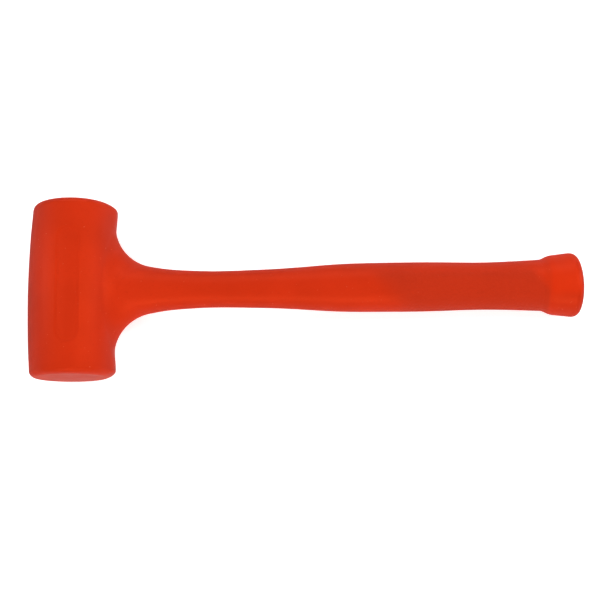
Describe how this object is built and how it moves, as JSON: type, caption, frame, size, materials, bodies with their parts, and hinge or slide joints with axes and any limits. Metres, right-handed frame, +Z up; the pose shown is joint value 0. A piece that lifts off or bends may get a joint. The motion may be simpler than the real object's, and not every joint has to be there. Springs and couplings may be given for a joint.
{
  "type": "dead blow mallet",
  "caption": "Soft-faced dead blow mallet: a barrel head and oval handle cast in one piece of urethane over a steel canister of loose shot and a steel rod.",
  "frame": {"origin": "under the middle of the bounding box, on the surface that the mallet lies on", "axes": "+X from the head to the butt, Y along the head from the front striking face to the rear one, +Z up from the surface that the mallet lies on"},
  "size_m": [0.3557, 0.1114, 0.0556],
  "materials": {
    "urethane": "satin, cast, with a finely textured grip",
    "canister_steel": "drawn",
    "weld_steel": "as welded",
    "shot_steel": "tumbled",
    "rod_steel": "cold drawn",
    "fastener_steel": "zinc plated",
    "spacer_plastic": "moulded"
  },
  "bodies": {
    "mallet": {"casing": "urethane", "canister_tube": "canister_steel", "canister_cap_front": "canister_steel", "canister_cap_rear": "canister_steel", "cap_weld_front": "weld_steel", "cap_weld_rear": "weld_steel", "canister_spacer_front": "spacer_plastic", "canister_spacer_rear": "spacer_plastic", "rod_socket": "canister_steel", "socket_weld": "weld_steel", "rod_locknut": "fastener_steel", "handle_rod": "rod_steel", "rod_spacer_neck": "spacer_plastic", "rod_spacer_grip": "spacer_plastic", "rod_spacer_butt": "spacer_plastic", "anchor_washer": "fastener_steel", "anchor_nut": "fastener_steel"},
    "shot": {"shot_charge": "shot_steel"}
  },
  "joints": [
    {"name": "shot_slide", "type": "slide", "parent": "mallet", "child": "shot", "axis": [0, 1, 0], "range_m": [0, 0.0277]}
  ]
}
